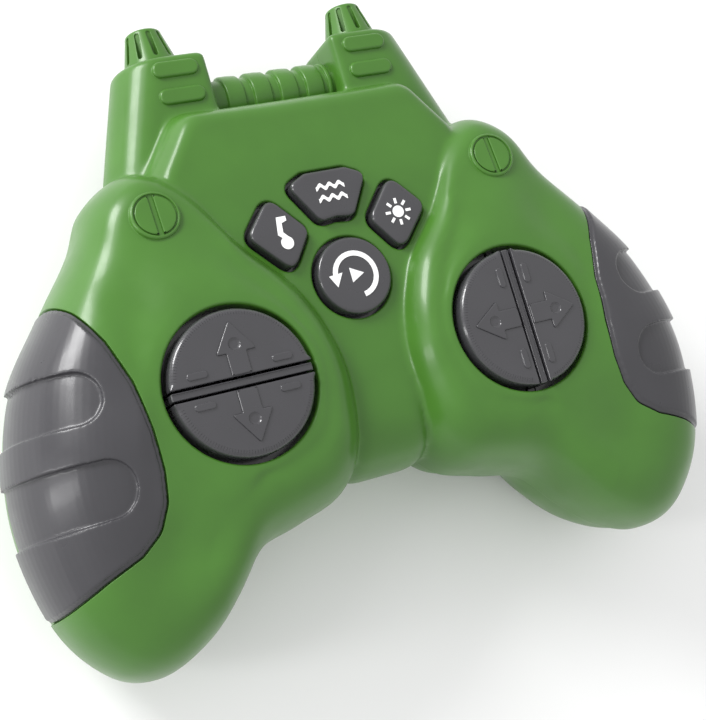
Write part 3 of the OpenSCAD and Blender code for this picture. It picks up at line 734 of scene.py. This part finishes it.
def right_cone():
    """Cone on a tower's end, with a rounded tip and slots all round."""
    foot = Vector((cone_x, tower_top_y, tower_z))
    length = cone_tip_y - tower_top_y
    edge = 0.9
    profile = [(cone_r - 0.5, -2), (cone_r, 0), (cone_r, 0.3)]
    profile += [(cone_tip_r + edge * math.cos(a) - 0.8, length - edge + edge * math.sin(a))
                for a in np.linspace(0, math.pi / 2, 8)[:-1]]
    profile.append((1.5, length))
    cone = turned("right_tip", profile, foot, (0, 1, 0), 120)
    slot_l = length - 2.4
    slots = []
    for k in range(cone_slots):
        turn = Matrix.Rotation(k * 2 * math.pi / cone_slots, 3, "Y")
        rings = []
        for z in (cone_tip_r - 0.15, cone_tip_r + 4):
            ring = [turn @ Vector((v, u + 1.5 + slot_l / 2, z)) for u, v in stadium(0, 0, slot_l, 1.1)]
            rings.append([point + foot for point in ring])
        slots.append(lofted("slot", rings))
    return joined(cone, slots, "DIFFERENCE")


def ribbed_tube():
    """Four wide sleeves and a narrow ring on a thinner tube."""
    narrow_r = sleeve_r - 0.8
    end_x = tower_in_x + 0.5
    # how far a point lies along a sleeve, and how far below its full radius
    sleeve = [(0, 0.35), (0.15, 0.1), (0.4, 0), (2.2, 0), (4, 0.15), (4.35, 0.4)]
    ring = [(0, 0.3), (0.15, 0.2), (0.75, 0.2), (0.9, 0.3)]
    raised = [(first_sleeve_x + k * sleeve_pitch, sleeve, 4.5) for k in range(4)] + [(13.25, ring, 0.95)]
    profile = [(narrow_r, -end_x)]
    for x, section, length in raised:
        profile.append((narrow_r, x - 0.05))
        profile += [(sleeve_r - lower, x + along) for along, lower in section]
        profile.append((narrow_r, x + length))
    profile.append((narrow_r, end_x))
    return turned("sleeves", profile, (0, tube_y, tower_z), (1, 0, 0))


# ---------- keys ----------


def half_outline(r):
    """Half disc on the +Y side, with its two corners rounded."""
    start = math.asin(half_gap / r)
    arc = [(r * math.cos(a), r * math.sin(a)) for a in np.linspace(start, math.pi - start, 73)]
    return refined(rounded(arc, [0.7] + [0.01] * 71 + [0.7], 5), 0.6)


def arrow_outline():
    """Arrow that points away from the bar."""
    foot, head, tip = half_gap + 0.2, 6, 12.4
    shaft, wing = 2.1, 4.3
    corners = [(-shaft, foot), (shaft, foot), (shaft, head), (wing, head), (0, tip), (-wing, head),
               (-shaft, head)]
    return refined(rounded(corners, [0.1, 0.1, 0.3, 0.4, 0.4, 0.4, 0.3], 4), 0.5)


def half_key(name, side, turn):
    """Half of a thumb disc with a raised arrow and bars, a flange and the stem over its switch."""
    outline = half_outline(disc_r)
    off_bar = np.clip((outline[:, 1] - half_gap) / 1.5, 0, 1)
    edge = 0.3 + 1.1 * ease(off_bar)
    top_z = face_z - disc_drop
    profile = [(0, flange_z)]
    for a in np.linspace(0, math.pi / 2, 9):
        profile.append((edge * (1 - math.cos(a)), top_z - edge * (1 - math.sin(a))))
    key = plate(name, outline, profile)
    flange_r = disc_hole_r + 1.1
    stem_zs = (switch_top_z + disc_travel + 0.3, flange_z + 2)
    parts = [plate("flange", half_outline(flange_r), [(0, flange_z), (0, flange_z + flange_t)]),
             turned("stem", [(stem_r, z) for z in stem_zs], (0, disc_stem_y, 0), (0, 0, 1), 32)]
    mark_z = face_z + mark_h
    raised = [(0, top_z - 0.5), (0, top_z + 0.1)] + fillet(mark_z, 0.25, 4)
    bowl = [(0.85, top_z + 0.04), (1.1, top_z + 0.1), (1.3, mark_z - 0.05), (1.4, face_z + 1)]
    dimple = turned("dimple", bowl, (0, 7.6, 0), (0, 0, 1), 40)
    marks = [joined(plate("arrow", arrow_outline(), raised), [dimple], "DIFFERENCE")]
    marks += [plate("bar", stadium(x, 3.1, 4.4, 1.5), raised) for x in (-9, 9)]
    merged(joined(key, parts, "UNION"), marks)
    return placed(key, (side * disc_x, 0), 0, turn, "Z")


def divider(name, side, turn):
    """The fixed bar between two half discs, with a foot under the collar and two legs."""
    half = bar_half
    reach = math.sqrt(disc_r**2 - half**2)
    outline = rounded([(reach, -half), (reach, half), (-reach, half), (-reach, -half)], 0.3, 4)
    at_end = np.clip((np.abs(outline[:, 0]) - reach + 1.2) / 1.2, 0, 1)
    edge = 0.25
    profile = [(0, flange_z)]
    for a in np.linspace(0, math.pi / 2, 6):
        drop = edge * (1 - math.sin(a)) + 0.9 * at_end**2 * (1 - math.sin(a) * 0.2)
        profile.append((edge * (1 - math.cos(a)), face_z - drop))
    bar = plate(name, outline, profile)
    foot_half = disc_hole_r + collar_t - 0.2
    foot = cuboid("foot", (-foot_half, -half, flange_z), (foot_half, half, collar_low_z))
    legs = [cuboid("leg", (x, -half, board_top_z), (x + 3, half, flange_z + 1)) for x in (-12, 9)]
    joined(bar, [foot] + legs, "UNION")
    return placed(bar, (side * disc_x, 0), 0, turn, "Z")


def centre_key(name, outline, stem):
    """Key cap with a rounded edge and a slightly crowned top, a flange and a stem."""
    top_z = panel_z + key_proud
    low_z = panel_z - wall - gap - flange_t
    outline = refined(outline, 0.5)
    crown = 0.12
    profile = [(0, low_z + 0.2)] + fillet(top_z - crown, 0.8, 8)
    rings = [at_height(inset(outline, by), z) for by, z in profile]
    rim = rings[-1][:, :2]
    heart = rim.mean(axis=0)
    for share in (0.9, 0.75, 0.55, 0.3):
        rings.append(at_height(heart + (rim - heart) * share, top_z - crown * share**2))
    key = lofted(name, rings, highest=(*heart, top_z))
    flange = plate("flange", inset(outline, -key_gap - 0.6), [(0, low_z), (0, low_z + flange_t)])
    post_zs = (switch_top_z + key_travel + 0.3, low_z + 0.6)
    post = turned("stem", [(stem_r, z) for z in post_zs], (*stem, 0), (0, 0, 1), 32)
    return joined(key, [flange, post], "UNION")


# ---------- battery door ----------


def battery_door():
    """Door with a tongue along each side and five finger grips cut in its face."""
    top_z = rest_z + door_t
    tongue_x = door_half_x + tongue_reach
    outline = box_outline(door_half_x, door_low_y, door_top_y, 0.8)
    profile = [(0.35, rest_z), (0.1, rest_z + 0.1), (0, rest_z + 0.35), (0, top_z)]
    door = plate("door_plate", outline, profile)
    tongue = cuboid("tongue", (-tongue_x, door_low_y, tongue_low_z), (tongue_x, door_top_y, top_z))
    joined(door, [tongue], "UNION")
    grip_cut = [(0, rest_z - 1), (0, rest_z + 0.5)]
    grips = [plate("grip", stadium(0, door_low_y + 5.5 + k * 2, 18, 1), grip_cut) for k in range(5)]
    return joined(door, grips, "DIFFERENCE")


# ---------- materials ----------


def new_material(name):
    material = bpy.data.materials.new(name)
    material.use_nodes = True
    nodes = material.node_tree.nodes
    return material, nodes, material.node_tree.links, nodes["Principled BSDF"]


def noise(nodes, links, coords, scale, detail=3):
    texture = nodes.new("ShaderNodeTexNoise")
    texture.inputs["Scale"].default_value = scale
    texture.inputs["Detail"].default_value = detail
    links.new(coords.outputs["Object"], texture.inputs["Vector"])
    return texture.outputs["Fac"]


def mapped(nodes, links, value, low_in, high_in, low_out, high_out):
    span = nodes.new("ShaderNodeMapRange")
    span.inputs["From Min"].default_value = low_in
    span.inputs["From Max"].default_value = high_in
    span.inputs["To Min"].default_value = low_out
    span.inputs["To Max"].default_value = high_out
    links.new(value, span.inputs["Value"])
    return span.outputs["Result"]


def mixed(nodes, links, factor, first, second):
    mix = nodes.new("ShaderNodeMix")
    mix.data_type = "RGBA"
    links.new(factor, mix.inputs["Factor"])
    for socket, colour in (("A", first), ("B", second)):
        if isinstance(colour, tuple):
            mix.inputs[socket].default_value = (*colour, 1)
        else:
            links.new(colour, mix.inputs[socket])
    return mix.outputs["Result"]


def shade(colour, factor):
    return tuple(min(1, part * factor) for part in colour)


def plastic(name, colour, roughness, grain=0.06, edge_r=0.3, coat=0.0):
    """Moulded plastic: faint mottling, a fine moulded grain, uneven gloss, and a painted highlight that makes
    every rounded edge paler.
    """
    material, nodes, links, shader = new_material(name)
    coords = nodes.new("ShaderNodeTexCoord")
    mottle = noise(nodes, links, coords, 90)
    fine = noise(nodes, links, coords, 2600, 2)
    smudge = noise(nodes, links, coords, 160, 5)
    soft_edge = nodes.new("ShaderNodeBevel")
    soft_edge.samples = 6
    soft_edge.inputs["Radius"].default_value = edge_r * MM
    geometry = nodes.new("ShaderNodeNewGeometry")
    facing = nodes.new("ShaderNodeVectorMath")
    facing.operation = "DOT_PRODUCT"
    links.new(soft_edge.outputs["Normal"], facing.inputs[0])
    links.new(geometry.outputs["Normal"], facing.inputs[1])
    # painted highlight: on rounded edges, where the bevel normal leans away from the surface normal, the
    # colour is lightened up to half way towards 1.5 times itself
    edge_highlight = mapped(nodes, links, facing.outputs["Value"], 1.0, 0.8, 0.0, 0.5)
    body = mixed(nodes, links, mapped(nodes, links, mottle, 0.3, 0.7, 0.0, 1.0), shade(colour, 0.95),
                 shade(colour, 1.05))
    links.new(mixed(nodes, links, edge_highlight, body, shade(colour, 1.5)), shader.inputs["Base Color"])
    gloss = mapped(nodes, links, smudge, 0.3, 0.7, roughness - 0.04, roughness + 0.05)
    links.new(gloss, shader.inputs["Roughness"])
    bump = nodes.new("ShaderNodeBump")
    bump.inputs["Strength"].default_value = grain
    bump.inputs["Distance"].default_value = 0.05 * MM
    links.new(fine, bump.inputs["Height"])
    links.new(soft_edge.outputs["Normal"], bump.inputs["Normal"])
    links.new(bump.outputs["Normal"], shader.inputs["Normal"])
    shader.inputs["Specular IOR Level"].default_value = 0.38
    shader.inputs["Coat Weight"].default_value = coat
    shader.inputs["Coat Roughness"].default_value = 0.12
    return material


def metal(name, colour, roughness):
    """Bare metal with faint brushed streaks and smudges."""
    material, nodes, links, shader = new_material(name)
    coords = nodes.new("ShaderNodeTexCoord")
    streaks = noise(nodes, links, coords, 1500, 6)
    smudge = noise(nodes, links, coords, 300, 4)
    body = mixed(nodes, links, mapped(nodes, links, smudge, 0.3, 0.7, 0.0, 1.0), shade(colour, 0.8),
                 shade(colour, 1.1))
    links.new(body, shader.inputs["Base Color"])
    gloss = mapped(nodes, links, streaks, 0.3, 0.7, roughness - 0.08, roughness + 0.1)
    links.new(gloss, shader.inputs["Roughness"])
    shader.inputs["Metallic"].default_value = 1
    bump = nodes.new("ShaderNodeBump")
    bump.inputs["Strength"].default_value = 0.1
    bump.inputs["Distance"].default_value = 0.03 * MM
    links.new(streaks, bump.inputs["Height"])
    links.new(bump.outputs["Normal"], shader.inputs["Normal"])
    return material


def cell_wrap(name):
    """Printed sleeve of a battery: a copper-coloured band at the positive end and a black body."""
    material, nodes, links, shader = new_material(name)
    coords = nodes.new("ShaderNodeTexCoord")
    parts = nodes.new("ShaderNodeSeparateXYZ")
    links.new(coords.outputs["Object"], parts.inputs["Vector"])
    band = mapped(nodes, links, parts.outputs["X"], 0.0112, 0.0116, 0.0, 1.0)
    scuffs = mapped(nodes, links, noise(nodes, links, coords, 500, 6), 0.45, 0.75, 0.0, 0.25)
    wrap = mixed(nodes, links, band, (0.015, 0.015, 0.017), (0.5, 0.2, 0.06))
    links.new(mixed(nodes, links, scuffs, wrap, (0.3, 0.28, 0.26)), shader.inputs["Base Color"])
    shader.inputs["Metallic"].default_value = 0.5
    links.new(mapped(nodes, links, scuffs, 0.0, 0.25, 0.28, 0.5), shader.inputs["Roughness"])
    return material


GREEN = (0.053, 0.162, 0.018)
GREY = (0.044, 0.043, 0.048)
green = plastic("green_moulding", GREEN, 0.34, coat=0.15)
pad_finish = plastic("pad_moulding", GREY, 0.31, grain=0.1, edge_r=0.2, coat=0.15)
key_finish = plastic("key_moulding", GREY, 0.27, grain=0.08, edge_r=0.15, coat=0.6)
print_finish = plastic("white_print", (0.9, 0.9, 0.9), 0.4, edge_r=0.05)
black_finish = plastic("black_moulding", (0.02, 0.02, 0.022), 0.4)
board_finish = plastic("board_coating", (0.01, 0.11, 0.035), 0.3, grain=0.2, edge_r=0.1)
chip_finish = plastic("chip_moulding", (0.015, 0.015, 0.017), 0.55, grain=0.3, edge_r=0.1)
red_finish = plastic("red_insulation", (0.45, 0.015, 0.01), 0.35, edge_r=0.05)
steel_finish = metal("screw_steel", (0.55, 0.56, 0.58), 0.3)
can_finish = metal("can_tin", (0.6, 0.6, 0.6), 0.25)
contact_finish = metal("contact_nickel", (0.66, 0.64, 0.6), 0.22)
copper_finish = metal("antenna_copper", (0.72, 0.36, 0.2), 0.3)
wrap_finish = cell_wrap("cell_sleeve")

CAD_FINISHES = {
    "print_white": print_finish,
    "board_green": board_finish,
    "screw_steel": steel_finish,
    "switch_black": black_finish,
    "chip_black": chip_finish,
    "can_metal": can_finish,
    "antenna_copper": copper_finish,
    "cell_wrap": wrap_finish,
    "contact_metal": contact_finish,
    "wire_red": red_finish,
    "wire_black": black_finish,
}


# ---------- pieces ----------


def show(piece, name, body, node, material, sharp=38, level_tops=False):
    """Names and finishes a piece, and lets it stand for its CAD node; level faces may be kept dead flat."""
    piece.name = name
    piece.data.materials.clear()
    piece.data.materials.append(material)
    piece.data.shade_smooth()
    piece.data.set_sharp_from_angle(angle=math.radians(sharp))
    if level_tops:
        for face in piece.data.polygons:
            face.use_smooth = abs(face.normal.z) < 0.99999
    else:
        even = piece.modifiers.new("even", "WEIGHTED_NORMAL")
        even.keep_sharp = True
    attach(piece, body)
    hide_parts(node)


show(front_housing(), "front_case", "case", "front_housing", green)
show(rear_housing(), "rear_case", "case", "rear_housing", green)
pad = right_pad()
show(flipped(pad, "left_pad"), "left_pad", "case", "left_grip_pad", pad_finish, 60)
show(pad, "right_pad", "case", "right_grip_pad", pad_finish, 60)
cone = right_cone()
show(flipped(cone, "left_tip"), "left_tip", "case", "left_cone", green)
show(cone, "right_tip", "case", "right_cone", green)
show(ribbed_tube(), "sleeves", "case", "ribbed_tube", green)
for side, sign, turn in (("left", -1, 0), ("right", 1, 90)):
    bar = divider(f"{side}_bar", sign, turn)
    show(bar, f"{side}_bar", "case", f"{side}_divider", key_finish, level_tops=True)
HALF_DISCS = [("forward", -1, 0), ("reverse", -1, 180), ("left_turn", 1, 90), ("right_turn", 1, -90)]
for key, sign, turn in HALF_DISCS:
    cap = half_key(key, sign, turn)
    show(cap, f"{key}_cap", f"{key}_key_body", f"{key}_key", key_finish, level_tops=True)
side_x, side_y = SIDE_STEM
CENTRE_KEYS = [("music", left_key_outline, (-side_x, side_y)), ("wave", top_key_outline, (0, 35.5)),
               ("light", side_key_outline, (side_x, side_y)), ("spin", round_key_outline, ROUND_KEY[:2])]
for key, outline, stem in CENTRE_KEYS:
    cap = centre_key(key, outline, stem)
    show(cap, f"{key}_cap", f"{key}_key_body", f"{key}_key", key_finish)
show(battery_door(), "door_cover", "door", "battery_door", green, level_tops=True)

for part in frame["record"]["subparts"]:
    finish = CAD_FINISHES.get(part["material_slot"])
    if finish:
        for holder in frame["nodes"][part["node"]].material_slots:
            holder.material = finish


# ---------- floor, light and camera ----------


def build_floor():
    size = 2.5
    mesh = bpy.data.meshes.new("floor")
    corners = [(-size, -size), (size, -size), (size, size), (-size, size)]
    mesh.from_pydata([(x, y, rest_z * MM) for x, y in corners], [], [(0, 1, 2, 3)])
    floor = bpy.data.objects.new("floor", mesh)
    scene.collection.objects.link(floor)
    material, nodes, links, shader = new_material("pale_floor")
    coords = nodes.new("ShaderNodeTexCoord")
    cloud = noise(nodes, links, coords, 3)
    links.new(mixed(nodes, links, cloud, (0.90, 0.90, 0.90), (0.93, 0.93, 0.93)), shader.inputs["Base Color"])
    shader.inputs["Roughness"].default_value = 0.9
    mesh.materials.append(material)


def area_light(name, place, target, size, power):
    data = bpy.data.lights.new(name, "AREA")
    data.shape = "RECTANGLE"
    data.size, data.size_y = size
    data.energy = power
    light = bpy.data.objects.new(name, data)
    light.location = place
    light.rotation_euler = (Vector(target) - Vector(place)).to_track_quat("-Z", "Y").to_euler()
    scene.collection.objects.link(light)


build_floor()
centre = (0, 0, 0.03)
area_light("key", (-0.55, 0.72, 0.47), centre, (0.36, 0.36), 9)
area_light("side", (-0.75, 0.05, 0.35), centre, (0.12, 0.6), 2)
world = bpy.data.worlds.new("studio")
scene.world = world
world.use_nodes = True
world.node_tree.nodes["Background"].inputs["Color"].default_value = (1, 1, 1, 1)
world.node_tree.nodes["Background"].inputs["Strength"].default_value = 0.88
scene.view_settings.view_transform = "Standard"

# the camera stands where the two round discs and the face's symmetry put the photograph's
camera_place = Vector((-0.1260, -0.0517, 0.3102))
camera_target = Vector((-0.00594, -0.0162, 0.040))
camera_roll = math.radians(16.34)
forward = (camera_target - camera_place).normalized()
level = (Vector((0, 1, 0)) - forward * forward.y).normalized()
across = forward.cross(level)
up = level * math.cos(camera_roll) + across * math.sin(camera_roll)
lens = bpy.data.cameras.new("camera")
lens.sensor_width = 36
lens.lens = 72.03
lens.clip_start = 0.01
camera = bpy.data.objects.new("camera", lens)
axes = Matrix((forward.cross(up), up, -forward)).transposed()
camera.matrix_world = Matrix.Translation(camera_place) @ axes.to_4x4()
scene.collection.objects.link(camera)
scene.camera = camera
